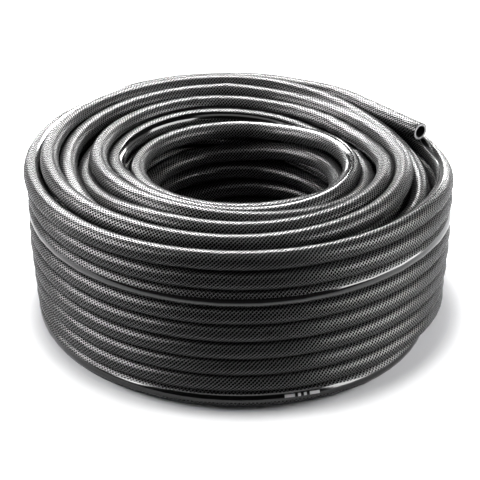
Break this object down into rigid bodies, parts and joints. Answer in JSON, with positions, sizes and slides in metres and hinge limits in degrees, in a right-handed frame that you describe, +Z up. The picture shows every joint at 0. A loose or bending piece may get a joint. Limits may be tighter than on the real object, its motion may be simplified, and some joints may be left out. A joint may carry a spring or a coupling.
{
  "type": "garden hose",
  "caption": "Textile-reinforced garden hose in a bare round coil, cut open at both ends; takes a barbed hose connector in its bore.",
  "frame": {"origin": "centre of the coil's round outline, on the surface that it stands on", "axes": "+Z up along the coil's axis; the free end lies on top on the +X side and points between +X and -Y"},
  "size_m": [0.4152, 0.4152, 0.162],
  "materials": {
    "hose_jacket": "glossy soft jacket with the knitted mesh showing through",
    "print_stripe": "smooth glossy stripe",
    "textile_mesh": "knitted yarn",
    "inner_tube": "smooth matt"
  },
  "bodies": {
    "root": {"buried_turns": "hose_jacket", "outer_turns": "hose_jacket", "top_turns": "hose_jacket", "free_end_jacket": "hose_jacket", "free_end_stripe": "print_stripe", "free_end_mesh": "textile_mesh", "free_end_liner": "inner_tube", "inner_end_jacket": "hose_jacket", "inner_end_stripe": "print_stripe", "inner_end_mesh": "textile_mesh", "inner_end_liner": "inner_tube"}
  },
  "joints": []
}
